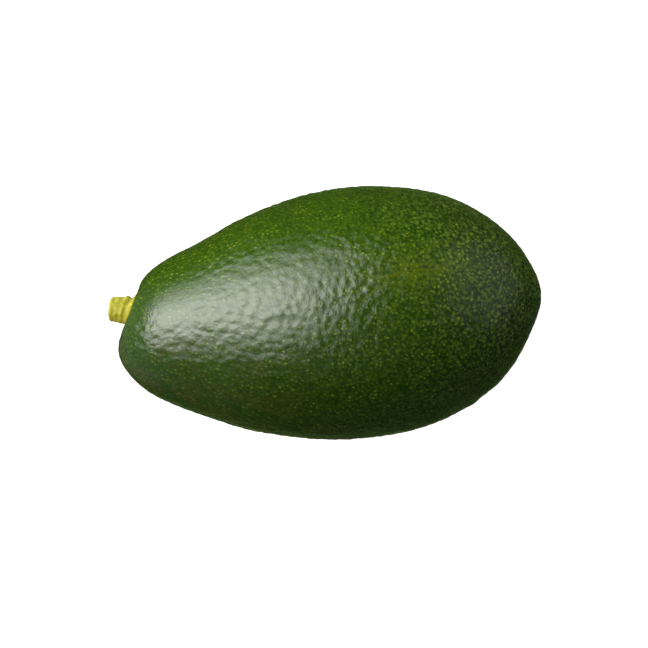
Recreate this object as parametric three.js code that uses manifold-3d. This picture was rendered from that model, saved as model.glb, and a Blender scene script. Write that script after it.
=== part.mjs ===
// A whole green-skinned avocado lying on its side, with the short stub of its stem.
// Millimetres, +Z up. +X runs from the neck to the blossom end along the long axis of the fruit's
// outline, +Y is the side towards which the neck's stem seat turns. The origin is under the middle
// of the whole object's box, on the surface that the fruit lies on.
import * as THREE from 'three';
import Module from 'manifold-3d';
import { mergeVertices } from 'three/addons/utils/BufferGeometryUtils.js';

const wasm = await Module();
wasm.setup();

// ---------------------------------------------------------------- driving dimensions
// Outline of the fruit seen from above, as the control points of a closed uniform cubic B-spline.
// Parameter 0 is the middle of the stem seat; the curve then goes over the +Y side to the blossom
// end at BLOSSOM_AT, and back along the -Y side. Its own frame has the centroid at (0, 0).
const OUTLINE = [
  [-53.61, 9.06], [-51.69, 11.90], [-51.00, 15.67], [-47.67, 18.50], [-42.49, 21.25], [-34.31, 23.75],
  [-25.24, 27.94], [-15.87, 30.92], [-6.17, 33.14], [3.61, 34.08], [13.66, 33.72], [23.21, 31.99],
  [33.04, 29.17], [41.24, 24.26], [48.97, 17.14], [53.75, 9.29], [57.48, -1.29], [52.59, -9.80],
  [47.29, -18.57], [40.10, -25.06], [31.11, -29.67], [21.85, -32.80], [11.89, -33.94], [2.05, -33.82],
  [-7.87, -32.83], [-17.45, -30.66], [-27.08, -27.84], [-35.91, -23.67], [-44.92, -19.24],
  [-53.27, -14.36], [-58.83, -6.87], [-59.42, -1.18], [-56.79, 2.81], [-55.22, 5.96],
];
const BLOSSOM_AT = 16.1;
// Half height from neck to blossom end, as a sine series over the length parameter.
const HALF_HEIGHT = [35.787, -1.085, 2.257, 0.551, 0.555, 0.302, 0.157];
const ROUNDNESS = 0.978;        // height of a cross-section over its width
const BLUNT = 0.22;             // how much taller the sections get towards the blossom end, which
const BLUNT_OVER = 0.10;        // makes that end a blunt dome, over this part of the length
const LEAN = 0.0475;            // the neck lies a little lower, so that the fruit rests under its centre of mass
const LEAN_ABOUT_X = 1.2;       // where the centre of mass is along the length
const FLAT_DEPTH = 0.55;        // depth of the small flat spot that the fruit rests on
const SHIFT_X = 2.18;           // from the outline's centroid to the middle of the whole box
const SHIFT_Y = -0.03;
const STATIONS = 54;            // rings along the length
const AROUND = 48;              // points round a ring

// Stem stub in the same outline frame: the seat it stands on, and its upper and lower edges seen
// from above, from the seat to the cut end.
const SEAT = [-53.56, 9.02];
const SEAT_NORMAL = [-0.880, 0.474];
const SEAT_GAP = 0.32;
const STEM_UPPER = [[-51.35, 13.15], [-52.15, 12.45], [-53.05, 11.75], [-53.85, 11.55], [-54.45, 12.10],
  [-54.95, 12.42], [-55.60, 12.30], [-56.80, 12.42], [-58.00, 12.50], [-58.60, 12.38], [-58.92, 11.85]];
const STEM_LOWER = [[-55.85, 4.85], [-56.25, 4.75], [-56.60, 4.85], [-56.95, 4.95], [-57.25, 5.05],
  [-57.60, 5.20], [-58.10, 5.50], [-59.00, 6.00], [-59.90, 6.45], [-60.32, 6.75], [-60.42, 7.30]];
const STEM_ROUND = 0.96;
const STEM_AROUND = 24;

// ---------------------------------------------------------------- helpers
function spline(t) {
  const n = OUTLINE.length;
  const i = Math.floor(t);
  const u = t - i;
  const w = [(1 - u) ** 3 / 6, (3 * u ** 3 - 6 * u ** 2 + 4) / 6,
    (-3 * u ** 3 + 3 * u ** 2 + 3 * u + 1) / 6, u ** 3 / 6];
  const p = [0, 0];
  for (let k = 0; k < 4; k++) {
    const c = OUTLINE[(((i - 1 + k) % n) + n) % n];
    p[0] += w[k] * c[0];
    p[1] += w[k] * c[1];
  }
  return p;
}

// one side of the outline, evenly spaced along its own length
function side(from, to, count) {
  const fine = 2400;
  const pts = [];
  const len = [0];
  for (let k = 0; k <= fine; k++) {
    pts.push(spline(from + (to - from) * k / fine));
    if (k) len.push(len[k - 1] + Math.hypot(pts[k][0] - pts[k - 1][0], pts[k][1] - pts[k - 1][1]));
  }
  const out = [];
  let j = 0;
  for (let k = 0; k <= count; k++) {
    const want = len[fine] * k / count;
    while (j < fine - 1 && len[j + 1] < want) j++;
    const f = (want - len[j]) / (len[j + 1] - len[j]);
    out.push([pts[j][0] + f * (pts[j + 1][0] - pts[j][0]), pts[j][1] + f * (pts[j + 1][1] - pts[j][1])]);
  }
  return out;
}

// closed body through rings; each ring is { centre, half (vector), rise }, its ends are single points
function loft(rings, around, capA, capB) {
  const pos = [];
  const idx = [];
  pos.push(...capA);
  for (const r of rings) {
    for (let k = 0; k < around; k++) {
      const a = 2 * Math.PI * k / around;
      pos.push(r.centre[0] + Math.cos(a) * r.half[0], r.centre[1] + Math.cos(a) * r.half[1],
        r.z + Math.sin(a) * r.rise);
    }
  }
  pos.push(...capB);
  const last = pos.length / 3 - 1;
  for (let k = 0; k < around; k++) {
    const k2 = (k + 1) % around;
    idx.push(0, 1 + k2, 1 + k);
    for (let i = 0; i < rings.length - 1; i++) {
      const a = 1 + i * around;
      const b = a + around;
      idx.push(a + k, a + k2, b + k2, a + k, b + k2, b + k);
    }
    const e = 1 + (rings.length - 1) * around;
    idx.push(last, e + k, e + k2);
  }
  const g = new THREE.BufferGeometry();
  g.setAttribute('position', new THREE.Float32BufferAttribute(pos, 3));
  g.setIndex(idx);
  return g;
}

function signedVolume(g) {
  const p = g.getAttribute('position');
  const ix = g.getIndex();
  const a = new THREE.Vector3();
  const b = new THREE.Vector3();
  const c = new THREE.Vector3();
  let v = 0;
  for (let i = 0; i < ix.count; i += 3) {
    a.fromBufferAttribute(p, ix.getX(i));
    b.fromBufferAttribute(p, ix.getX(i + 1));
    c.fromBufferAttribute(p, ix.getX(i + 2));
    v += a.dot(b.cross(c)) / 6;
  }
  return v;
}

function outward(g) {
  if (signedVolume(g) < 0) {
    const ix = g.getIndex();
    for (let i = 0; i < ix.count; i += 3) {
      const t = ix.getX(i + 1);
      ix.setX(i + 1, ix.getX(i + 2));
      ix.setX(i + 2, t);
    }
  }
  return g;
}

function toSolid(g) {
  const m = g.clone();
  for (const name of Object.keys(m.attributes)) if (name !== 'position') m.deleteAttribute(name);
  const w = mergeVertices(m, 1e-5);
  return new wasm.Manifold(new wasm.Mesh({
    numProp: 3,
    vertProperties: new Float32Array(w.getAttribute('position').array),
    triVerts: new Uint32Array(w.getIndex().array),
  }));
}

function fromSolid(s) {
  const m = s.getMesh();
  const pos = new Float32Array(m.numVert * 3);
  for (let i = 0; i < m.numVert; i++) {
    for (let k = 0; k < 3; k++) pos[3 * i + k] = m.vertProperties[i * m.numProp + k];
  }
  const g = new THREE.BufferGeometry();
  g.setAttribute('position', new THREE.BufferAttribute(pos, 3));
  g.setIndex(new THREE.BufferAttribute(new Uint32Array(m.triVerts), 1));
  g.computeVertexNormals();
  return g;
}

// ---------------------------------------------------------------- fruit
const upper = side(0, BLOSSOM_AT, STATIONS);
const lower = side(OUTLINE.length, BLOSSOM_AT, STATIONS);
const rise = (t) => ROUNDNESS * (1 + BLUNT * Math.exp(-(((1 - t) / BLUNT_OVER) ** 2)))
  * HALF_HEIGHT.reduce((s, c, k) => s + c * Math.sin((k + 1) * Math.PI * t), 0);
const lean = (x) => LEAN * (x - LEAN_ABOUT_X);

const rings = [];
let lowest = 1e9;
for (let i = 1; i < STATIONS; i++) {
  const cx = (upper[i][0] + lower[i][0]) / 2;
  const cy = (upper[i][1] + lower[i][1]) / 2;
  const hx = (upper[i][0] - lower[i][0]) / 2;
  const hy = (upper[i][1] - lower[i][1]) / 2;
  const r = { centre: [cx, cy], half: [hx, hy], z: 0, rise: rise(i / STATIONS) };
  rings.push(r);
  lowest = Math.min(lowest, lean(cx) - r.rise);
}
const BASE_Z = lowest + FLAT_DEPTH;      // the resting plane in the outline frame

const body = outward(loft(rings, AROUND, [upper[0][0], upper[0][1], 0],
  [upper[STATIONS][0], upper[STATIONS][1], 0]));
{
  const p = body.getAttribute('position');
  for (let i = 0; i < p.count; i++) {
    p.setXYZ(i, p.getX(i) + SHIFT_X, p.getY(i) + SHIFT_Y, p.getZ(i) + lean(p.getX(i)) - BASE_Z);
  }
}
// everything under the resting plane is cut away, which leaves the flat spot
const under = new THREE.BoxGeometry(200, 200, 20);
under.translate(0, 0, -10);
const fruitGeometry = fromSolid(toSolid(body).subtract(toSolid(under)));

// ---------------------------------------------------------------- stem
const stemRings = STEM_UPPER.map((u, i) => {
  const l = STEM_LOWER[i];
  const half = [(u[0] - l[0]) / 2, (u[1] - l[1]) / 2];
  return { centre: [(u[0] + l[0]) / 2, (u[1] + l[1]) / 2], half, z: 0, rise: STEM_ROUND * Math.hypot(...half) };
});
// the first ring is laid on the seat plane, a small gap off the skin
for (const ring of [stemRings[0]]) {
  const d = (ring.centre[0] - SEAT[0]) * SEAT_NORMAL[0] + (ring.centre[1] - SEAT[1]) * SEAT_NORMAL[1];
  ring.centre = [ring.centre[0] + (SEAT_GAP - d) * SEAT_NORMAL[0], ring.centre[1] + (SEAT_GAP - d) * SEAT_NORMAL[1]];
  const along = ring.half[0] * SEAT_NORMAL[0] + ring.half[1] * SEAT_NORMAL[1];
  ring.half = [ring.half[0] - along * SEAT_NORMAL[0], ring.half[1] - along * SEAT_NORMAL[1]];
}
const endRing = stemRings[stemRings.length - 1];
const stemGeometry = outward(loft(stemRings, STEM_AROUND,
  [...stemRings[0].centre, 0], [...endRing.centre, 0]));
{
  const p = stemGeometry.getAttribute('position');
  for (let i = 0; i < p.count; i++) {
    p.setXYZ(i, p.getX(i) + SHIFT_X, p.getY(i) + SHIFT_Y, p.getZ(i) + lean(p.getX(i)) - BASE_Z);
  }
  stemGeometry.computeVertexNormals();
}

// ---------------------------------------------------------------- scene graph
const fruit = new THREE.Mesh(fruitGeometry, new THREE.MeshStandardMaterial({
  color: 0x3f5f12, roughness: 0.38, metalness: 0 }));
fruit.name = 'fruit';
const stem = new THREE.Mesh(stemGeometry, new THREE.MeshStandardMaterial({
  color: 0xbdb53a, roughness: 0.6, metalness: 0 }));
stem.name = 'stem';

const group = new THREE.Group();
group.add(fruit, stem);
export default group;
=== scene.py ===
import math

import bpy
import numpy as np
from mathutils import Matrix, Vector, noise
from mathutils.kdtree import KDTree


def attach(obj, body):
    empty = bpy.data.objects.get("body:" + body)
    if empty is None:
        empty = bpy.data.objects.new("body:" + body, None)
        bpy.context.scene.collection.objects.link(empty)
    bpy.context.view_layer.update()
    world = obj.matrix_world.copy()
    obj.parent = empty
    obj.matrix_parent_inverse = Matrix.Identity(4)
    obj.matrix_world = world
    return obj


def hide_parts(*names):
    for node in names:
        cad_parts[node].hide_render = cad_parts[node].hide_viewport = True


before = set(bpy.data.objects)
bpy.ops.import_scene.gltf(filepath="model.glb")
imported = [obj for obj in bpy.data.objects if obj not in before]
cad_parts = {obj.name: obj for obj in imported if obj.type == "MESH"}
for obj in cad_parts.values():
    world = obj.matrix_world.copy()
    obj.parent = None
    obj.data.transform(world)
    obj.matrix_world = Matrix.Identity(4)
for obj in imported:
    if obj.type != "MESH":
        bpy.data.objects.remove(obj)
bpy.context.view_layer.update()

MM = 0.001

# ------------------------------------------------------------------ shape of the fruit
# The same outline and height profile as the solid: a closed uniform cubic B-spline seen from
# above, and a sine series for the half height, both in the outline's own frame in millimetres.
OUTLINE = np.array([
    [-53.61, 9.06], [-51.69, 11.90], [-51.00, 15.67], [-47.67, 18.50], [-42.49, 21.25], [-34.31, 23.75],
    [-25.24, 27.94], [-15.87, 30.92], [-6.17, 33.14], [3.61, 34.08], [13.66, 33.72], [23.21, 31.99],
    [33.04, 29.17], [41.24, 24.26], [48.97, 17.14], [53.75, 9.29], [57.48, -1.29], [52.59, -9.80],
    [47.29, -18.57], [40.10, -25.06], [31.11, -29.67], [21.85, -32.80], [11.89, -33.94], [2.05, -33.82],
    [-7.87, -32.83], [-17.45, -30.66], [-27.08, -27.84], [-35.91, -23.67], [-44.92, -19.24],
    [-53.27, -14.36], [-58.83, -6.87], [-59.42, -1.18], [-56.79, 2.81], [-55.22, 5.96],
])
BLOSSOM_AT = 16.1
HALF_HEIGHT = [35.787, -1.085, 2.257, 0.551, 0.555, 0.302, 0.157]
ROUNDNESS = 0.978
BLUNT, BLUNT_OVER = 0.22, 0.10
LEAN, LEAN_ABOUT_X = 0.0475, 1.2
FLAT_DEPTH = 0.55
SHIFT_X, SHIFT_Y = 2.18, -0.03


def spline(t):
    n = len(OUTLINE)
    i = np.floor(t).astype(int)
    u = (t - i)[:, None]
    c = [OUTLINE[(i - 1 + k) % n] for k in range(4)]
    return ((1 - u) ** 3 * c[0] + (3 * u**3 - 6 * u**2 + 4) * c[1]
            + (-3 * u**3 + 3 * u**2 + 3 * u + 1) * c[2] + u**3 * c[3]) / 6


def side(start, end):
    p = spline(np.linspace(start, end, 6001))
    s = np.r_[0, np.cumsum(np.hypot(*np.diff(p, axis=0).T))]
    return p, s / s[-1]


UPPER, LOWER = side(0.0, BLOSSOM_AT), side(float(len(OUTLINE)), BLOSSOM_AT)


def along(which, t):
    p, s = which
    return np.stack([np.interp(t, s, p[:, 0]), np.interp(t, s, p[:, 1])], 1)


def half_height(t):
    h = sum(c * np.sin((k + 1) * np.pi * t) for k, c in enumerate(HALF_HEIGHT))
    return ROUNDNESS * (1 + BLUNT * np.exp(-(((1 - t) / BLUNT_OVER) ** 2))) * h


def lean(x):
    return LEAN * (x - LEAN_ABOUT_X)


_t = np.arange(1, 54) / 54.0
_mid = (along(UPPER, _t) + along(LOWER, _t)) / 2
BASE_Z = (lean(_mid[:, 0]) - half_height(_t)).min() + FLAT_DEPTH


def surface(t, phi):
    """Points of the smooth skin in the row frame, in millimetres."""
    u, l = along(UPPER, t), along(LOWER, t)
    p = (u + l) / 2 + np.cos(phi)[:, None] * (u - l) / 2
    z = lean(p[:, 0]) + np.sin(phi) * half_height(t) - BASE_Z
    return np.c_[p[:, 0] + SHIFT_X, p[:, 1] + SHIFT_Y, z]


def to_row(x, y):
    return np.array([x + SHIFT_X, y + SHIFT_Y])


# ------------------------------------------------------------------ a cube grid wrapped on it
NX, NC = 152, 116            # quads along the length of a side face, and across any face
CAP = 0.22                   # share of the length that each end face covers
GAP = 1.3                    # space between the charts of the map, in quads


def cube_grid():
    """A closed cube-like grid: (t, phi) of its points, its quads, and each corner's place on
    a map of six charts, four sides and two ends."""
    index, tp, quads, uvs = {}, [], [], []

    def put(key, t, phi):
        if key not in index:
            index[key] = len(tp)
            tp.append((t, phi))
        return index[key]

    def angle(j, side_no):
        return (j / NC * 2 - 1) * np.pi / 4 + side_no * np.pi / 2

    def ring_key(i, j, side_no):
        return ("r", i, (side_no * NC + j) % (4 * NC))

    width, height = 3 * NC + 4 * GAP, 2 * NX + 3 * GAP
    order = ((0, 0), (0, 1), (1, 1), (1, 0))
    for s in range(4):
        ou, ov = GAP + (s % 2) * (NC + GAP), GAP + (s // 2) * (NX + GAP)
        for i in range(NX):
            for j in range(NC):
                ids, uv = [], []
                for di, dj in order:
                    ii, jj = i + di, j + dj
                    t = CAP + (1 - 2 * CAP) * ii / NX
                    ids.append(put(ring_key(ii, jj, s), t, angle(jj, s)))
                    uv.append(((ou + jj) / width, (ov + ii) / height))
                quads.append(ids)
                uvs.append(uv)
    for end in (0, 1):
        ou, ov = GAP + 2 * (NC + GAP), GAP + end * (NC + GAP)
        for a in range(NC):
            for b in range(NC):
                ids, uv = [], []
                for da, db in order:
                    u, v = (a + da) / NC * 2 - 1, (b + db) / NC * 2 - 1
                    r = max(abs(u), abs(v))
                    uv.append(((ou + b + db) / width, (ov + a + da) / height))
                    if r > 1 - 1e-9:
                        # on the rim: the same point as the side faces' first or last ring
                        if abs(u - 1) < 1e-9:
                            s, j = 0, b + db
                        elif abs(v - 1) < 1e-9:
                            s, j = 1, NC - (a + da)
                        elif abs(u + 1) < 1e-9:
                            s, j = 2, NC - (b + db)
                        else:
                            s, j = 3, a + da
                        key = ring_key(0 if end == 0 else NX, j, s)
                        ids.append(put(key, CAP if end == 0 else 1 - CAP, angle(j, s)))
                        continue
                    phi = 0.0 if r < 1e-12 else math.atan2(math.tan(v * np.pi / 4), math.tan(u * np.pi / 4))
                    t = CAP * r
                    ids.append(put(("c", end, a + da, b + db), t if end == 0 else 1 - t, phi))
                quads.append(ids)
                uvs.append(uv)
    return np.array(tp), np.array(quads), np.array(uvs)


TP, QUADS, CORNER_UV = cube_grid()
T, PHI = TP[:, 0], TP[:, 1]
BASE = surface(T, PHI)

# every quad's corners run so that its face points out
_q = BASE[QUADS]
_n = np.cross(_q[:, 2] - _q[:, 0], _q[:, 3] - _q[:, 1])
_in = ((_q.mean(1) - BASE.mean(0)) * _n).sum(1) < 0
QUADS[_in] = QUADS[_in][:, ::-1]
CORNER_UV[_in] = CORNER_UV[_in][:, ::-1]


def vertex_normals(p, quads):
    a, b, c, d = (p[quads[:, k]] for k in range(4))
    n = np.cross(c - a, d - b)
    out = np.zeros_like(p)
    for k in range(4):
        np.add.at(out, quads[:, k], n)
    return out / np.linalg.norm(out, axis=1)[:, None]


NORMAL = vertex_normals(BASE, QUADS)


def smooth(lo, hi, x):
    k = np.clip((x - lo) / (hi - lo), 0, 1)
    return k * k * (3 - 2 * k)


# coordinates in millimetres for the skin's pattern, drawn out along the neck and crowded
# together round the middle of the fruit
_x = np.linspace(-60, 60, 400)
_s = np.r_[0, np.cumsum(np.interp(_x, [-60, -42, -18, 4, 24, 60], [0.70, 0.74, 1.02, 1.28, 1.10, 1.0]))[:-1] * (120 / 399)]


def pattern(p):
    return np.c_[np.interp(p[:, 0], _x, _s), p[:, 1], p[:, 2]]


PATTERN = pattern(BASE)


# ------------------------------------------------------------------ lenticels and pebbles
# Both are spread over the skin so that no two of a kind are closer than a set spacing. The
# pebbles are the raised cells that show in the relief, the lenticels the small pale dots.
def spread(seed, count, spacing, vary, drawn_out=False):
    """Points on the skin, each with the index of the quad that it lies in. Where they are
    drawn out, they are spaced in the pattern's coordinates, which are returned."""
    rng = np.random.default_rng(seed)
    q = BASE[QUADS]
    area = np.linalg.norm(np.cross(q[:, 2] - q[:, 0], q[:, 3] - q[:, 1]), axis=1) / 2
    pick = rng.choice(len(QUADS), count, p=area / area.sum())
    u, v = rng.random((2, count, 1))
    c = q[pick]
    pts = (c[:, 0] * (1 - u) * (1 - v) + c[:, 1] * u * (1 - v) + c[:, 2] * u * v + c[:, 3] * (1 - u) * v)
    if drawn_out:
        pts = pattern(pts)
    gap = spacing(T[QUADS[pick]].mean(1)) * (1 + vary * (2 * rng.random(count) - 1))
    cell = gap.max()
    grid, kept = {}, []
    keys = np.floor(pts / cell).astype(int)
    for i in range(count):
        kx, ky, kz = keys[i]
        p = pts[i]
        ok = True
        for dx in (-1, 0, 1):
            for dy in (-1, 0, 1):
                for dz in (-1, 0, 1):
                    for j in grid.get((kx + dx, ky + dy, kz + dz), ()):
                        o = pts[j]
                        if (p[0] - o[0]) ** 2 + (p[1] - o[1]) ** 2 + (p[2] - o[2]) ** 2 < gap[i] ** 2:
                            ok = False
                            break
                    if not ok:
                        break
                if not ok:
                    break
            if not ok:
                break
        if ok:
            kept.append(i)
            grid.setdefault((kx, ky, kz), []).append(i)
    return pts[kept], pick[kept]


def nearest(points, queries, n):
    tree = KDTree(len(points))
    for i, p in enumerate(points):
        tree.insert(p, i)
    tree.balance()
    idx = np.zeros((len(queries), n), dtype=int)
    dist = np.zeros((len(queries), n))
    for k, p in enumerate(queries):
        for m, (_, i, d) in enumerate(tree.find_n(p, n)):
            idx[k, m] = i
            dist[k, m] = d
    return idx, dist


PEBBLES, _ = spread(11, 30000, lambda t: np.interp(t, [0, 0.3, 0.55, 1], [1.95, 2.05, 2.15, 2.05]), 0.25, True)
LENTICELS, LENT_QUAD = spread(23, 110000, lambda t: np.interp(t, [0, 0.25, 0.5, 1], [1.55, 1.38, 1.14, 1.08]), 0.34)

# the direction along the fruit at every point of the skin
_d = surface(np.clip(T + 0.004, 0, 1), PHI) - surface(np.clip(T - 0.004, 0, 1), PHI)
ALONG = _d / np.maximum(np.linalg.norm(_d, axis=1), 1e-9)[:, None]


# ------------------------------------------------------------------ relief of the skin
# T is how far along the skin each point is from the neck, 0 to 1. The neck is smoother, with
# a few long shallow dents; the belly and the blossom end are pebbled all over.
def relief():
    body = smooth(0.12, 0.44, T)
    # pebbles: a rounded mound on each point, of its own height, with soft valleys between
    rng = np.random.default_rng(7)
    tall = 0.55 + 0.45 * rng.random(len(PEBBLES))
    warp = np.array([noise.noise_vector(Vector(p) / 2.6) for p in BASE]) * 0.45
    idx, d = nearest(PEBBLES, PATTERN + warp, 4)
    w = np.exp(-5.0 * d)
    f1 = -np.log(w.sum(1)) / 5.0
    mound = (tall[idx] * w).sum(1) / w.sum(1) * (1 - np.clip(f1, 0, 1.3) ** 2 / 1.6)
    # lenticels: the same, smaller and lower
    idx, d = nearest(LENTICELS, BASE, 3)
    f1 = -np.log(np.exp(-9.0 * d).sum(1)) / 9.0
    grain = 1 - np.clip(f1, 0, 0.8) ** 2 / 0.5
    low, mid, fine, dent = (np.zeros(len(BASE)) for _ in range(4))
    for i, p in enumerate(BASE):
        q = Vector((p[0] * 0.80, p[1], p[2]))
        low[i] = noise.noise(q / 9.0 + Vector((3.1, 7.7, 1.3)))
        mid[i] = noise.noise(q / 3.6 + Vector((13.1, 2.7, 9.3)))
        fine[i] = noise.noise(q / 1.9 + Vector((5.1, 4.7, 3.3)))
        # dents of the neck, drawn out along it
        r = Vector((p[0] * 0.75, p[1], p[2]))
        dent[i] = noise.noise(r / 1.35 + Vector((8.1, 1.7, 6.3)))
    dents = -smooth(0.10, 0.55, dent)
    # the neck is more dented along its side than along its top
    flank = smooth(0.03, 0.10, T) * (1 - smooth(0.34, 0.46, T)) * np.exp(-((BASE[:, 1] - 1.0) / 5.5) ** 2)
    brow = BASE[:, 1] - 20.0 - 0.25 * (BASE[:, 0] + 12.0)
    crest = smooth(0.02, 0.08, T) * (1 - smooth(0.42, 0.54, T)) * smooth(4.0, 9.0, BASE[:, 1]) * smooth(1.0, -3.0, brow)
    dents *= 1 + 1.3 * flank - crest * (0.4 + 0.4 * (1 - smooth(0.12, 0.20, T)))
    fine *= 1 + 2.2 * flank
    mid *= 1 + 0.9 * flank
    return (LOW_MM * low + MID_MM * mid * (0.75 - 0.05 * body)
            + PEBBLE_MM * (0.45 + 0.55 * body) * (1 - 0.20 * smooth(0.30, 0.42, T) - 0.20 * smooth(0.50, 0.72, T)) * (1 - 0.3 * crest) * mound
            + GRAIN_MM * (0.6 + 0.4 * body) * grain
            + FINE_MM * fine * (0.3 + 0.7 * body) + DENT_MM * (1 - 0.75 * body) * dents)


LOW_MM, MID_MM, PEBBLE_MM, GRAIN_MM, FINE_MM, DENT_MM = 0.065, 0.085, 0.210, 0.030, 0.054, 0.070
H = relief()
H -= H.mean()
seat = surface(np.array([0.0]), np.array([0.0]))[0]
rs = np.linalg.norm(BASE - seat, axis=1)
H *= 0.06 + 0.94 * smooth(4.4, 10.0 + 7.0 * smooth(2.0, 6.0, BASE[:, 1]) * (1 - smooth(13.0, 17.0, BASE[:, 1])), rs)
# the top of the neck's end is smooth
H *= 1 - 0.75 * (1 - smooth(0.19, 0.27, T)) * smooth(2.0, 6.0, BASE[:, 1]) * (1 - smooth(13.0, 17.0, BASE[:, 1]))
# three small swellings and hollows of a healed scrape on the outline's lower right
for x, y, amount, width in ((34.3, -27.4, 0.40, 1.7), (37.6, -25.6, -0.34, 1.6), (40.8, -23.3, 0.26, 1.9)):
    c = np.array([*to_row(x, y), 33.5])
    H += amount * np.exp(-((BASE - c) ** 2 / np.array([width, width, 3.4]) ** 2).sum(1))
# the stylar scar: a small pit with a low rim, just under the blossom pole
pole = surface(np.array([0.975]), np.array([-1.75]))[0]
rp = np.linalg.norm(BASE - pole, axis=1)
H += -0.40 * np.exp(-((rp / 1.0) ** 2)) + 0.10 * np.exp(-(((rp - 1.9) / 0.7) ** 2))
POINTS = BASE + NORMAL * H[:, None]
# the neck ends in a small flat facet that the stem's collar sits on
SEAT = np.array([-53.56, 9.02])
SEAT_NORMAL = np.array([-0.880, 0.474])
_rel = POINTS[:, :2] - to_row(*SEAT)
_off = _rel @ SEAT_NORMAL - 0.60 + 0.09 * np.abs(POINTS[:, 2] - seat[2])
_side = np.abs(_rel @ np.array([SEAT_NORMAL[1], -SEAT_NORMAL[0]]))
_cut = 0.5 * (_off + np.sqrt(_off**2 + 0.02)) * (1 - smooth(4.6, 8.6, _side)) * (POINTS[:, 0] < -40)
POINTS[:, :2] -= _cut[:, None] * SEAT_NORMAL
# the flat spot: the skin has settled onto the surface that it lies on
POINTS[:, 2] = np.maximum(POINTS[:, 2], 0.0)


def new_mesh(name, verts, faces):
    me = bpy.data.meshes.new(name)
    me.from_pydata([tuple(v) for v in verts], [], [tuple(int(k) for k in f) for f in faces])
    me.update()
    ob = bpy.data.objects.new(name, me)
    bpy.context.scene.collection.objects.link(ob)
    for p in me.polygons:
        p.use_smooth = True
    return ob


skin = new_mesh("avocado_skin", POINTS * MM, QUADS)
me = skin.data


def point_float(name, values):
    a = me.attributes.new(name, "FLOAT", "POINT")
    a.data.foreach_set("value", np.asarray(values, dtype=np.float32))


def point_vector(name, values):
    a = me.attributes.new(name, "FLOAT_VECTOR", "POINT")
    a.data.foreach_set("vector", np.asarray(values, dtype=np.float32).ravel())


def corner_vector(name, values):
    a = me.attributes.new(name, "FLOAT_VECTOR", "CORNER")
    a.data.foreach_set("vector", np.asarray(values, dtype=np.float32).ravel())


def corner_float(name, values):
    a = me.attributes.new(name, "FLOAT", "CORNER")
    a.data.foreach_set("value", np.asarray(values, dtype=np.float32).ravel())


point_float("along", T)
point_float("seat", rs)
point_float("scar", rp)
# how far round the fruit towards its upper side and the side facing the key light, 0 to 1. The skin's colours are mixed
# by it into a lighter and a darker copy: partly a paler side of the skin, partly painted light and shade
point_float("lit_side", smooth(-0.75, 0.75, NORMAL[:, 1] * 0.92 + NORMAL[:, 2] * 0.22 - 0.22 * (1 - smooth(0.1, 0.4, T))))
# a yellower patch high on the body
point_float("blush", np.exp(-((BASE[:, 0] - 25.0) / 10.0) ** 2 - ((BASE[:, 1] - 8.5) / 3.6) ** 2) * smooth(30, 45, BASE[:, 2]))
point_vector("pattern", PATTERN)

# the network between the lenticels: distance to the border of each one's own small field
_, _d2 = nearest(LENTICELS, BASE, 2)
point_float("border", _d2[:, 1] - _d2[:, 0])

# Each quad's corners carry their offset from the lenticel nearest to the quad, in units of
# that lenticel's radius, so the dot stays round and crisp between the mesh's points. On the
# neck the dots are drawn out along the fruit.
_mid = BASE[QUADS].mean(1)
_own, _ = nearest(LENTICELS, _mid, 1)
_own = _own[:, 0]
_rng = np.random.default_rng(5)
_size = 0.13 + 0.13 * _rng.random(len(LENTICELS)) ** 1.5
_lt = T[QUADS[LENT_QUAD]].mean(1)
_neck = 1 - smooth(0.10, 0.45, _lt)
_light = 0.06 + 0.24 * _neck + (0.94 - 0.24 * _neck) * _rng.random(len(LENTICELS)) ** (2.0 - 0.9 * _neck)
_size *= 1.0 + 0.40 * _neck + 0.20 * smooth(0.5, 0.8, _lt)
_group = np.array([noise.noise(Vector(p) / 3.4 + Vector((2.3, 9.1, 4.9))) for p in LENTICELS])
_light *= 0.45 + 0.85 * smooth(-0.28, 0.30, _group)
# fainter along the crest of the neck, under the key light's highlight: a painted dimming to suit the highlight, not the
# skin's own colour
_brow = LENTICELS[:, 1] - 20.0 - 0.25 * (LENTICELS[:, 0] + 12.0)
_light *= 1 - 0.50 * (1 - smooth(0.40, 0.54, _lt)) * smooth(3.0, -2.0, _brow) * smooth(-7.0, 0.0, LENTICELS[:, 1]) * (LENTICELS[:, 2] > 33)
_light = np.minimum(_light, 1.0)
_long = np.interp(_lt, [0, 0.2, 0.45, 1], [1.7, 1.6, 1.2, 1.1])
_, _nn = nearest(LENTICELS, LENTICELS, 2)
_size = np.minimum(_size, _nn[:, 1] / 2 / 1.75 / np.sqrt(_long))
_dir = ALONG[QUADS[LENT_QUAD]].mean(1)
_dir /= np.linalg.norm(_dir, axis=1)[:, None]
_off = BASE[QUADS] - LENTICELS[_own][:, None, :]
_al = (_off * _dir[_own][:, None, :]).sum(2)
_off -= (_al * (1 - 1 / _long[_own][:, None]))[..., None] * _dir[_own][:, None, :]
corner_vector("dot", _off / _size[_own][:, None, None])
corner_float("dot_light", np.repeat(_light[_own][:, None], 4, 1))

uv = me.uv_layers.new(name="OFBake")
uv.data.foreach_set("uv", CORNER_UV.astype(np.float32).ravel())


# ------------------------------------------------------------------ stem
STEM_UPPER = np.array([[-51.03, 13.82], [-51.55, 13.30], [-52.06, 12.77], [-52.70, 12.16], [-53.26, 11.70],
                       [-53.83, 11.49], [-54.40, 11.92], [-54.94, 12.34], [-55.60, 12.07], [-57.45, 12.19],
                       [-59.07, 12.31], [-59.55, 11.72]])
STEM_LOWER = np.array([[-55.93, 4.30], [-56.15, 4.40], [-56.35, 4.49], [-56.62, 4.62], [-56.90, 4.76],
                       [-57.25, 4.87], [-57.60, 4.98], [-57.95, 5.10], [-58.50, 5.30], [-59.55, 5.72],
                       [-60.50, 6.18], [-60.70, 7.25]])


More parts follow.
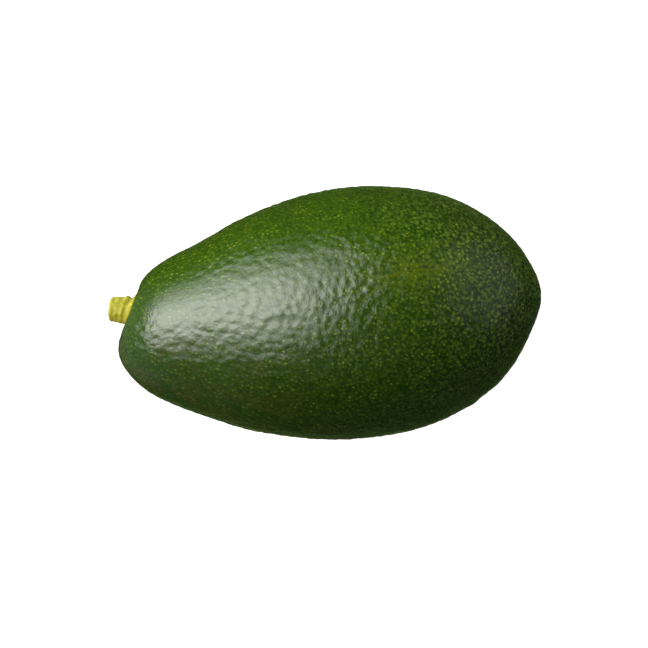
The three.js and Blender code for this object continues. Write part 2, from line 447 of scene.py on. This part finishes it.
def catmull(p, n):
    q = np.vstack([2 * p[0] - p[1], p, 2 * p[-1] - p[-2]])
    out = []
    for k in np.linspace(0, len(p) - 1, n):
        i = min(int(k), len(p) - 2)
        u = k - i
        a, b, c, d = q[i], q[i + 1], q[i + 2], q[i + 3]
        out.append(0.5 * (2 * b + (c - a) * u + (2 * a - 5 * b + 4 * c - d) * u * u
                          + (-a + 3 * b - 3 * c + d) * u**3))
    return np.array(out)


def make_stem():
    n, m = 84, 96
    up, lo = catmull(STEM_UPPER, n), catmull(STEM_LOWER, n)
    verts, ring_of = [], []
    axis = np.array([-0.970, 0.243])
    for i in range(n):
        c, h = (up[i] + lo[i]) / 2, (up[i] - lo[i]) / 2
        if i == 0:      # the collar's edge lies on the skin
            c = c - ((c - SEAT) @ SEAT_NORMAL + 0.35) * SEAT_NORMAL
        s = i / (n - 1)
        for k in range(m):
            a = 2 * math.pi * k / m
            rr = np.hypot(*h)
            p = np.array([*(c + math.cos(a) * h), math.sin(a) * rr * 0.96])
            out = np.array([*(math.cos(a) * h / rr), math.sin(a)])
            q = Vector(p)
            body = smooth(0.30, 0.50, np.array([s]))[0] * (1 - smooth(0.86, 0.95, np.array([s]))[0])
            ribs = 0.06 * noise.noise(Vector((math.cos(a) * 3.4, math.sin(a) * 3.4, s * 1.4)))
            rings = 0.045 * math.sin(2 * math.pi * (p[0] * axis[0] + p[1] * axis[1]) / 1.5 + 1.2
                                     + 1.6 * noise.noise(q / 1.6))
            lump = 0.20 * noise.noise(q / 1.5 + Vector((1.7, 0.3, 4.4))) + 0.06 * noise.noise(q / 0.6)
            p = p + out * (body * (ribs + rings + lump) + (1 - body) * 0.04 * lump)
            verts.append(p)
        ring_of.append(s)
    # the cut end: rings running in to the middle, slightly domed and rough
    endc = (up[-1] + lo[-1]) / 2
    half = (up[-1] - lo[-1]) / 2
    for j, f in enumerate((0.93, 0.85, 0.76, 0.66, 0.55, 0.43, 0.30, 0.16)):
        for k in range(m):
            a = 2 * math.pi * k / m
            rr = np.hypot(*half)
            p2 = endc + math.cos(a) * half * f + axis * 0.16 * (1 - f * f) ** 0.5
            p = np.array([*p2, math.sin(a) * rr * 0.96 * f])
            p[:2] += axis * (0.07 * noise.noise(Vector(p) / 0.8) + 0.05 * math.cos(9 * f))
            verts.append(p)
    n2 = n + 8
    tip = np.array([*(endc + axis * 0.17), 0.0])
    verts.append(tip)
    base_c = (up[0] + lo[0]) / 2
    base_c = base_c - ((base_c - SEAT) @ SEAT_NORMAL + 0.35) * SEAT_NORMAL
    verts.append(np.array([*base_c, 0.0]))
    faces = []
    for i in range(n2 - 1):
        for k in range(m):
            k2 = (k + 1) % m
            faces.append((i * m + k, i * m + k2, (i + 1) * m + k2, (i + 1) * m + k))
    e = (n2 - 1) * m
    for k in range(m):
        k2 = (k + 1) % m
        faces.append((e + k, e + k2, n2 * m))
        faces.append((k2, k, n2 * m + 1))
    v = np.array(verts)
    v[:, 2] += lean(v[:, 0]) - BASE_Z
    v[:, 0] += SHIFT_X
    v[:, 1] += SHIFT_Y
    # keep the faces pointing outward
    tri = [(f[0], f[1], f[2]) for f in faces]
    vol = sum(np.dot(v[a], np.cross(v[b], v[c])) for a, b, c in tri)
    if vol < 0:
        faces = [f[::-1] for f in faces]
    return new_mesh("stem_stub", v * MM, faces), v, n, m


stem, stem_pts, SN, SM = make_stem()


# ------------------------------------------------------------------ node helpers
class Tree:
    def __init__(self, tree):
        self.t = tree
        self.t.nodes.clear()

    def node(self, kind, **kw):
        n = self.t.nodes.new(kind)
        for k, v in kw.items():
            setattr(n, k, v)
        return n

    def link(self, a, b):
        self.t.links.new(a, b)

    def feed(self, socket, value):
        if isinstance(value, bpy.types.NodeSocket):
            self.link(value, socket)
        else:
            socket.default_value = value

    def math(self, op, a, b=None, c=None, clamp=False):
        n = self.node("ShaderNodeMath", operation=op, use_clamp=clamp)
        self.feed(n.inputs[0], a)
        if b is not None:
            self.feed(n.inputs[1], b)
        if c is not None:
            self.feed(n.inputs[2], c)
        return n.outputs[0]

    def step(self, x, lo, hi, a=0.0, b=1.0):
        n = self.node("ShaderNodeMapRange", interpolation_type="SMOOTHSTEP")
        self.feed(n.inputs[0], x)
        self.feed(n.inputs[1], lo)
        self.feed(n.inputs[2], hi)
        self.feed(n.inputs[3], a)
        self.feed(n.inputs[4], b)
        return n.outputs[0]

    def mix(self, fac, a, b, blend="MIX"):
        n = self.node("ShaderNodeMix", data_type="RGBA", blend_type=blend, clamp_factor=True)
        self.feed(n.inputs[0], fac)
        self.feed(n.inputs[6], a)
        self.feed(n.inputs[7], b)
        return n.outputs[2]

    def mapping(self, vec, scale=(1, 1, 1), loc=(0, 0, 0)):
        n = self.node("ShaderNodeMapping")
        self.feed(n.inputs["Vector"], vec)
        n.inputs["Scale"].default_value = scale
        n.inputs["Location"].default_value = loc
        return n.outputs[0]

    def noise(self, vec, scale, detail=2.0, rough=0.5, out=0):
        n = self.node("ShaderNodeTexNoise")
        self.feed(n.inputs["Vector"], vec)
        n.inputs["Scale"].default_value = scale
        n.inputs["Detail"].default_value = detail
        n.inputs["Roughness"].default_value = rough
        return n.outputs[out]

    def voronoi(self, vec, scale, feature="F1", randomness=1.0, smoothness=None, out="Distance"):
        n = self.node("ShaderNodeTexVoronoi", feature=feature)
        self.feed(n.inputs["Vector"], vec)
        n.inputs["Scale"].default_value = scale
        n.inputs["Randomness"].default_value = randomness
        if smoothness is not None:
            n.inputs["Smoothness"].default_value = smoothness
        return n.outputs[out]

    def attr(self, name, out="Fac"):
        n = self.node("ShaderNodeAttribute", attribute_name=name)
        return n.outputs[out]


def rgb(r, g, b):
    return (r, g, b, 1.0)


def skin_material():
    mat = bpy.data.materials.new("avocado_skin")
    mat.use_nodes = True
    k = Tree(mat.node_tree)
    out = k.node("ShaderNodeOutputMaterial")
    bsdf = k.node("ShaderNodeBsdfPrincipled")
    k.link(bsdf.outputs[0], out.inputs[0])
    pat = k.attr("pattern", "Vector")
    t = k.attr("along")
    lit_side = k.attr("lit_side")
    body = k.step(t, 0.14, 0.46)

    # each lenticel: a small light-coloured dot in a wider, fainter ring of yellow-green
    ln = k.node("ShaderNodeVectorMath", operation="LENGTH")
    k.link(k.attr("dot", "Vector"), ln.inputs[0])
    wobble = k.math("MULTIPLY_ADD", k.noise(pat, 2.6, 2.0), 1.1, -0.55)
    r = k.math("ADD", ln.outputs["Value"], wobble)
    light = k.attr("dot_light")
    dot = k.math("MULTIPLY", k.step(r, 0.62, 1.20, 1.0, 0.0), light)
    ring = k.math("MULTIPLY", k.step(r, 0.9, 2.5, 1.0, 0.0), k.math("MULTIPLY_ADD", light, 0.6, 0.4))
    net = k.step(k.attr("border"), 0.02, 0.50, 1.0, 0.0)

    fine = k.noise(pat, 1.3, 3.0, 0.6)
    blob = k.noise(pat, 0.42, 2.0, 0.55)
    big = k.noise(pat, 0.075, 2.0, 0.5)
    streak = k.noise(k.mapping(pat, scale=(0.09, 0.75, 0.75)), 1.0, 2.0, 0.5)

    # the base green: a darker copy for the side turned from the key light, darker still towards the blossom end, and a
    # lighter copy for the lit side, mixed by how far round to the lit side: painted shade in part
    shade_side_green = k.mix(k.step(t, 0.26, 0.52), rgb(0.0112, 0.0385, 0.0024), rgb(0.0040, 0.0190, 0.0006))
    mid = rgb(0.0234, 0.0685, 0.0004)
    green = k.mix(lit_side, shade_side_green, mid)
    # patches of a second green, in a shaded and a lit copy mixed by how far round to the lit side: painted light and
    # shade in part
    green = k.mix(k.math("MULTIPLY", k.step(blob, 0.40, 0.66), 0.60), green,
                  k.mix(lit_side, rgb(0.0115, 0.0355, 0.0006), rgb(0.0495, 0.0975, 0.0005)))
    green = k.mix(k.math("MULTIPLY", k.step(fine, 0.52, 0.32), k.step(body, 0.2, 1.0, 0.06, 0.30)), green, rgb(0.0080, 0.0290, 0.0012))
    green = k.mix(k.math("MULTIPLY", k.step(streak, 0.54, 0.74), 0.30), green, rgb(0.0540, 0.0900, 0.0010))
    green = k.mix(k.math("MULTIPLY", k.step(big, 0.50, 0.72), 0.25), green, rgb(0.0110, 0.0310, 0.0030))
    # the neck's side is tinged brown
    tinge = k.math("MULTIPLY", k.step(k.noise(pat, 0.10, 3.0, 0.6), 0.40, 0.58), k.step(t, 0.62, 0.30))
    tinge = k.math("MULTIPLY", tinge, k.step(lit_side, 0.72, 0.40))
    green = k.mix(k.math("MULTIPLY", tinge, 0.40), green, rgb(0.0420, 0.0380, 0.0030))
    # light yellow-green fields round the lenticels, broken up finely, in a dark network that is strongest towards the
    # blossom end
    end = k.step(t, 0.46, 0.80)
    grit = k.noise(pat, 1.15, 3.0, 0.7)
    green = k.mix(k.math("MULTIPLY", end, 0.50), green, rgb(0.0065, 0.0290, 0.0012))
    field = k.math("MULTIPLY", k.step(k.math("MULTIPLY_ADD", fine, 0.5, k.attr("border")),
                                      k.math("MULTIPLY_ADD", end, -0.10, 0.32), k.math("MULTIPLY_ADD", end, -0.30, 0.92)),
                   k.math("MULTIPLY_ADD", light, 0.90, 0.10))
    field = k.math("MULTIPLY", field, k.step(grit, 0.36, 0.60, 0.45, 1.0))
    patch = k.step(k.noise(pat, 0.48, 2.0, 0.6), 0.36, 0.62)
    field = k.math("MULTIPLY", field, k.math("MULTIPLY_ADD", k.math("MULTIPLY", end, 0.70), k.math("SUBTRACT", patch, 1.0), 1.12), clamp=True)
    # towards the blossom end the fields are crowded into small cells, each of its own lightness
    warp = k.node("ShaderNodeVectorMath", operation="MULTIPLY_ADD")
    k.link(k.noise(pat, 0.9, 1.0, 0.5, out=1), warp.inputs[0])
    warp.inputs[1].default_value = (0.7, 0.7, 0.7)
    k.link(pat, warp.inputs[2])
    wp = warp.outputs[0]
    near = k.voronoi(wp, 0.86)
    own = k.voronoi(wp, 0.86, out="Color")
    cell = k.math("MULTIPLY", k.step(near, 0.62, 0.28), k.step(own, 0.15, 0.75, 0.20, 1.0))
    cells = k.step(t, 0.30, 0.60)
    # the fields' colour and the cells' contrast differ between the shaded and the lit side: painted light and shade in
    # part
    field = k.math("ADD", k.math("MULTIPLY", field, k.math("MULTIPLY_ADD", cells, -0.80, 1.0)),
                   k.math("MULTIPLY", k.math("MULTIPLY", cell, k.step(patch, 0.0, 1.0, 0.50, 1.0)), k.math("MULTIPLY", cells, k.step(lit_side, 0.2, 0.9, 1.50, 1.15))), clamp=True)
    halo = k.mix(lit_side, k.mix(end, rgb(0.0310, 0.0590, 0.0020), rgb(0.0260, 0.0600, 0.0050)),
                 k.mix(end, rgb(0.0840, 0.1430, 0.0012), rgb(0.1350, 0.2270, 0.0160)))
    col = k.mix(k.math("MULTIPLY", field, k.math("MULTIPLY_ADD", end, 0.42, k.step(body, 0.0, 1.0, 0.05, 0.50))), green, halo)
    # the dark network is stronger on the side turned from the key light, and its colour comes in a shaded and a lit
    # copy: painted shade in part
    netw = k.math("MULTIPLY", k.math("MULTIPLY", net, k.step(grit, 0.64, 0.40, 0.4, 1.0)),
                  k.math("MULTIPLY_ADD", end, 0.45, k.math("MULTIPLY", k.step(body, 0.1, 1.0, 0.03, 0.38), k.step(lit_side, 0.3, 0.8, 1.0, 0.55))))
    col = k.mix(netw, col, k.mix(lit_side, rgb(0.0026, 0.0160, 0.0022), rgb(0.0045, 0.0250, 0.0022)))
    col = k.mix(k.math("MULTIPLY", ring, k.step(body, 0.0, 1.0, 0.26, 0.22)), col, halo)
    # whitish specks towards the blossom end, brighter on the lit side: painted glints on the lenticels' domes, and
    # partly light specks of the skin
    glint_speck = k.math("MULTIPLY", k.step(grit, 0.585, 0.665), k.math("MULTIPLY", end, 0.80))
    col = k.mix(glint_speck, col, k.mix(lit_side, rgb(0.0600, 0.1000, 0.0150), rgb(0.1900, 0.2500, 0.0450)))
    blush = k.math("MULTIPLY", k.attr("blush"), k.step(k.noise(k.mapping(pat, scale=(0.16, 1.1, 1.1)), 1.0, 2.0, 0.6), 0.38, 0.62))
    col = k.mix(k.math("MULTIPLY", blush, 0.62), col, rgb(0.1100, 0.1500, 0.0015))
    # the dots' colour: a dull copy for the side turned from the key light and a bright one for the lit side: painted
    # light and shade in part
    col = k.mix(k.math("MULTIPLY", dot, 1.0), col,
                k.mix(lit_side, k.mix(body, rgb(0.0720, 0.0980, 0.0080), rgb(0.1100, 0.1400, 0.0130)),
                      k.mix(body, rgb(0.1850, 0.2550, 0.0100), rgb(0.2150, 0.2800, 0.0160))))
    # a few russet pin points low on the side
    pin = k.math("MULTIPLY", k.step(k.noise(pat, 1.05, 1.0, 0.5), 0.72, 0.78), k.math("MULTIPLY", k.step(lit_side, 0.62, 0.40), body))
    col = k.mix(k.math("MULTIPLY", pin, 0.7), col, rgb(0.0620, 0.0360, 0.0140))
    # russet specks towards the blossom end
    sp = k.math("MULTIPLY", k.step(k.noise(pat, 0.55, 2.0, 0.6), 0.66, 0.74),
                k.math("MULTIPLY", k.step(k.noise(pat, 0.06, 1.0), 0.52, 0.60), k.step(t, 0.62, 0.80)))
    col = k.mix(k.math("MULTIPLY", sp, 0.55), col, rgb(0.0700, 0.0380, 0.0120))
    # cork of the small blossom scar, and a brown line where the stem's collar sits
    scar = k.attr("scar")
    col = k.mix(k.step(k.math("ADD", scar, k.math("MULTIPLY", fine, 0.8)), 1.0, 2.2, 0.9, 0.0), col, rgb(0.0500, 0.0300, 0.0120))
    seat_r = k.attr("seat")
    col = k.mix(k.step(k.math("ADD", seat_r, k.math("MULTIPLY", blob, 0.8)), 6.4, 7.6, 0.6, 0.0), col, rgb(0.0600, 0.0420, 0.0060))
    k.link(col, bsdf.inputs["Base Color"])

    bsdf.inputs["Roughness"].default_value = 0.30
    rough = k.step(fine, 0.3, 0.8, 0.26, 0.34)
    k.link(rough, bsdf.inputs["Roughness"])
    bsdf.inputs["Specular IOR Level"].default_value = 0.1
    bsdf.inputs["Coat Weight"].default_value = 1.0
    bsdf.inputs["Coat Roughness"].default_value = 0.19
    bsdf.inputs["Coat IOR"].default_value = 1.6
    bsdf.inputs["Sheen Weight"].default_value = 0.15
    bsdf.inputs["Sheen Roughness"].default_value = 0.25
    bsdf.inputs["Sheen Tint"].default_value = rgb(0.45, 0.80, 0.15)

    # relief finer than the mesh: raised dots in their small fields, and a waxy micro grain
    hgt = k.math("MULTIPLY", k.step(ln.outputs["Value"], 0.1, 1.05, 1.0, 0.0), 0.30)
    hgt = k.math("MULTIPLY_ADD", net, k.math("MULTIPLY", end, -0.35), hgt)
    hgt = k.math("MULTIPLY_ADD", k.noise(pat, 1.7, 2.0, 0.5), 1.75, hgt)
    bump = k.node("ShaderNodeBump")
    bump.inputs["Strength"].default_value = 1.0
    bump.inputs["Distance"].default_value = 0.000045
    k.link(hgt, bump.inputs["Height"])
    k.link(bump.outputs[0], bsdf.inputs["Normal"])
    k.link(bump.outputs[0], bsdf.inputs["Coat Normal"])
    return mat


def stem_material():
    mat = bpy.data.materials.new("stem_stub")
    mat.use_nodes = True
    k = Tree(mat.node_tree)
    out = k.node("ShaderNodeOutputMaterial")
    bsdf = k.node("ShaderNodeBsdfPrincipled")
    k.link(bsdf.outputs[0], out.inputs[0])
    tc = k.node("ShaderNodeTexCoord").outputs["Object"]
    p = k.mapping(tc, scale=(1000, 1000, 1000))
    n1 = k.noise(p, 0.8, 3.0, 0.6)
    n2 = k.noise(k.mapping(p, scale=(0.35, 1.6, 1.6)), 1.0, 3.0, 0.6)
    col = k.mix(k.step(n1, 0.35, 0.65), rgb(0.33, 0.310, 0.010), rgb(0.50, 0.480, 0.055))
    col = k.mix(k.math("MULTIPLY", k.step(n2, 0.5, 0.75), 0.5), col, rgb(0.30, 0.265, 0.001))
    n3 = k.noise(p, 0.42, 2.0, 0.5)
    col = k.mix(k.math("MULTIPLY", k.step(n3, 0.56, 0.70), 0.45), col, rgb(0.64, 0.62, 0.140))
    col = k.mix(k.math("MULTIPLY", k.step(n3, 0.46, 0.32), 0.45), col, rgb(0.24, 0.20, 0.001))
    at = k.node("ShaderNodeSeparateXYZ")
    k.link(p, at.inputs[0])
    seat_at = to_row(*SEAT)
    # the lower half of the stub darker, where it faces away from the key light: painted shade
    lower_half_shade = k.math("MULTIPLY", k.step(k.math("MULTIPLY_ADD", n1, 2.0, at.outputs[1]), 11.0, 7.2), 0.65)
    col = k.mix(lower_half_shade, col, rgb(0.290, 0.245, 0.003))
    off = k.math("MULTIPLY_ADD", at.outputs[1], float(SEAT_NORMAL[1]), float(-seat_at @ SEAT_NORMAL))
    off = k.math("MULTIPLY_ADD", at.outputs[0], float(SEAT_NORMAL[0]), off)
    col = k.mix(k.step(k.math("MULTIPLY_ADD", n1, 0.5, off), 1.7, 0.5, 0.0, 0.30), col, rgb(0.380, 0.290, 0.010))
    col = k.mix(k.step(k.math("MULTIPLY_ADD", n1, 0.4, off), 0.75, 0.30, 0.0, 0.75), col, rgb(0.190, 0.120, 0.012))
    k.link(col, bsdf.inputs["Base Color"])
    bsdf.inputs["Roughness"].default_value = 0.5
    bsdf.inputs["Specular IOR Level"].default_value = 0.3
    bump = k.node("ShaderNodeBump")
    bump.inputs["Distance"].default_value = 0.00010
    k.link(k.math("ADD", n1, n2), bump.inputs["Height"])
    k.link(bump.outputs[0], bsdf.inputs["Normal"])
    return mat


skin.data.materials.append(skin_material())
stem.data.materials.append(stem_material())

for ob, node, slot in ((skin, "fruit", "skin"), (stem, "stem", "stem")):
    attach(ob, "root")
    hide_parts(node)

# ------------------------------------------------------------------ camera
ROLL = math.radians(7.02)
RIGHT = Vector((math.cos(ROLL), -math.sin(ROLL), 0))
UP = Vector((math.sin(ROLL), math.cos(ROLL), 0))
cam_data = bpy.data.cameras.new("camera")
cam_data.lens = 120
cam_data.sensor_width = 36
cam = bpy.data.objects.new("camera", cam_data)
bpy.context.scene.collection.objects.link(cam)
m = Matrix((RIGHT, UP, Vector((0, 0, 1)))).transposed().to_4x4()
m.translation = Vector((-0.683, -1.938, 33.0 + 583.2)) * MM
cam.matrix_world = m
bpy.context.scene.camera = cam


# ------------------------------------------------------------------ light and stage
def image_dir(x, y, z):
    return (RIGHT * x + UP * y + Vector((0, 0, 1)) * z).normalized()


def area(name, centre, ex, ey, dist, sx, sy, radiance):
    w = centre
    xx = (ex - w * ex.dot(w)).normalized()
    yy = w.cross(xx)
    li = bpy.data.lights.new(name, "AREA")
    li.shape = "RECTANGLE"
    li.size, li.size_y = sx * dist, sy * dist
    li.energy = radiance * math.pi * li.size * li.size_y
    ob = bpy.data.objects.new(name, li)
    bpy.context.scene.collection.objects.link(ob)
    mm = Matrix((xx, yy, w)).transposed().to_4x4()
    mm.translation = Vector((0, 0, 0.033)) + w * dist
    ob.matrix_world = mm
    return ob


# a large softbox up on the left, brightest in its middle, and a weak broad one low on the right
KEY_W, KEY_X, KEY_Y = image_dir(-0.755, 0.261, 0.601), image_dir(-0.112, -0.955, 0.274), image_dir(0.646, 0.140, 0.750)
KEY_D, KEY_AT = 2.0, 0.18
key = area("key_softbox", KEY_W, KEY_X, None, KEY_D, 2.2, 1.86, 6.30)
key.location += (KEY_Y - KEY_W * KEY_Y.dot(KEY_W)).normalized() * KEY_AT * KEY_D
key.data.use_nodes = True
k = Tree(key.data.node_tree)
em = k.node("ShaderNodeEmission")
k.link(em.outputs[0], k.node("ShaderNodeOutputLight").inputs[0])
uvw = k.node("ShaderNodeSeparateXYZ")
k.link(k.node("ShaderNodeNewGeometry").outputs["Parametric"], uvw.inputs[0])
p1 = k.math("MULTIPLY_ADD", uvw.outputs[0], 2.2, -1.1)
p2 = k.math("MULTIPLY_ADD", uvw.outputs[1], 1.86, -0.75)
near = k.math("ADD", k.step(p2, -0.45, -0.30, 0.15, 0.09), k.step(p2, -0.05, 0.12, 0.0, 0.04))
far_lo = k.math("ADD", near, 0.50)
dn, upw = k.math("MAXIMUM", p1, 0.0), k.math("MAXIMUM", k.math("MULTIPLY", p1, -1.0), 0.0)
across = k.math("MULTIPLY", k.step(dn, near, far_lo, 1.0, k.step(p2, -0.10, 0.45, 0.22, 0.44)),
                k.step(dn, 0.66, 1.05, 1.0, k.step(p2, 0.0, 0.5, 0.30, 0.95)))
across = k.math("MULTIPLY", across, k.math("MULTIPLY", k.step(upw, 0.04, 0.58, 1.0, k.step(p2, 0.1, 0.7, 0.32, 0.62)),
                k.step(upw, 0.60, 1.0, 1.0, k.step(p2, 0.0, 0.6, 0.10, 0.50))))
up_fall = k.math("MAXIMUM", k.math("MINIMUM", k.math("MULTIPLY_ADD", p2, -0.93, 1.095), 1.0), 0.16)
up_fall = k.math("MULTIPLY", up_fall, k.step(p2, 0.68, 0.98, 1.0, 0.34))
# past its sharp near edge only a weak strip of it is left, low down
strip = k.math("MULTIPLY", k.step(p1, 0.08, 0.20), k.step(p1, 0.48, 0.70, 0.55, 0.0))
strip = k.math("MULTIPLY", strip, k.step(p2, -0.75, -0.60))
inside = k.step(p2, -0.51, -0.47)
k.link(k.math("MULTIPLY_ADD", inside, k.math("SUBTRACT", k.math("MULTIPLY", across, up_fall), strip), strip), em.inputs["Strength"])
FILL_W, FILL_X = image_dir(0.865, 0.327, 0.381), image_dir(-0.172, 0.906, -0.387)
fill = area("fill_softbox", FILL_W, FILL_X, None, 2.0, 1.34, 1.07, 0.255)
fill.data.color = (0.94, 0.99, 1.03)

far = area("far_side_fill", image_dir(0.85, 0.15, 0.45), image_dir(-0.1, 0.9, 0.0), None, 2.0, 1.8, 1.4, 0.22)
far.visible_glossy = False

world = bpy.data.worlds.new("studio")
bpy.context.scene.world = world
world.use_nodes = True
k = Tree(world.node_tree)
wo = k.node("ShaderNodeOutputWorld")
bg = k.node("ShaderNodeBackground")
k.link(bg.outputs[0], wo.inputs[0])
sep = k.node("ShaderNodeSeparateXYZ")
k.link(k.node("ShaderNodeTexCoord").outputs["Generated"], sep.inputs[0])
up_amount = k.step(sep.outputs[2], 0.30, 0.75)
left_amount = k.step(sep.outputs[0], -0.45, -0.85)
sky = k.math("MULTIPLY_ADD", up_amount, 0.018, 0.005)
left_amount = k.math("MULTIPLY", left_amount, k.step(sep.outputs[2], -0.15, 0.20, 0.18, 0.08))
glow = k.node("ShaderNodeVectorMath", operation="DOT_PRODUCT")
k.link(k.node("ShaderNodeTexCoord").outputs["Generated"], glow.inputs[0])
glow.inputs[1].default_value = image_dir(-0.38, -0.52, 0.76)
left_amount = k.math("ADD", left_amount, k.step(glow.outputs["Value"], 0.80, 0.96, 0.0, 0.10))
k.link(k.math("ADD", left_amount, sky), bg.inputs["Strength"])
bg.inputs["Color"].default_value = (0.97, 1.0, 1.02, 1)


def stage_object(name, mesh_make, colour_make):
    ob = mesh_make(name)
    mat = bpy.data.materials.new(name)
    mat.use_nodes = True
    colour_make(Tree(mat.node_tree))
    ob.data.materials.append(mat)
    ob.visible_glossy = False
    ob.visible_diffuse = name == "floor"
    return ob


def disc(name):
    n, r = 96, 5.8
    v = [(0, 0, 0)] + [(r * math.cos(2 * math.pi * i / n), r * math.sin(2 * math.pi * i / n), 0) for i in range(n)]
    f = [(0, 1 + i, 1 + (i + 1) % n) for i in range(n)]
    me_ = bpy.data.meshes.new(name)
    me_.from_pydata(v, [], f)
    ob = bpy.data.objects.new(name, me_)
    bpy.context.scene.collection.objects.link(ob)
    ob.location.z = -0.00005
    return ob


def dome(name):
    me_ = bpy.data.meshes.new(name)
    import bmesh
    b = bmesh.new()
    bmesh.ops.create_uvsphere(b, u_segments=48, v_segments=24, radius=5.5)
    b.to_mesh(me_)
    b.free()
    ob = bpy.data.objects.new(name, me_)
    bpy.context.scene.collection.objects.link(ob)
    ob.visible_shadow = False
    return ob


def floor_shader(k):
    out = k.node("ShaderNodeOutputMaterial")
    add = k.node("ShaderNodeAddShader")
    dif = k.node("ShaderNodeBsdfDiffuse")
    emi = k.node("ShaderNodeEmission")
    dif.inputs[0].default_value = (0.55, 0.55, 0.55, 1)
    emi.inputs[0].default_value = (1, 1, 1, 1)
    pos = k.node("ShaderNodeTexCoord").outputs["Object"]
    ln = k.node("ShaderNodeVectorMath", operation="LENGTH")
    k.link(pos, ln.inputs[0])
    k.link(k.step(ln.outputs["Value"], 0.06, 0.3, 0.93, 1.05), emi.inputs["Strength"])
    k.link(dif.outputs[0], add.inputs[0])
    k.link(emi.outputs[0], add.inputs[1])
    k.link(add.outputs[0], out.inputs[0])


def dome_shader(k):
    out = k.node("ShaderNodeOutputMaterial")
    emi = k.node("ShaderNodeEmission")
    emi.inputs[0].default_value = (1, 1, 1, 1)
    emi.inputs[1].default_value = 1.02
    k.link(emi.outputs[0], out.inputs[0])


floor = stage_object("floor", disc, floor_shader)
back = stage_object("backdrop", dome, dome_shader)

sc = bpy.context.scene
sc.view_settings.view_transform = "Standard"
sc.view_settings.look = "None"
sc.view_settings.exposure = 0
sc.view_settings.gamma = 1
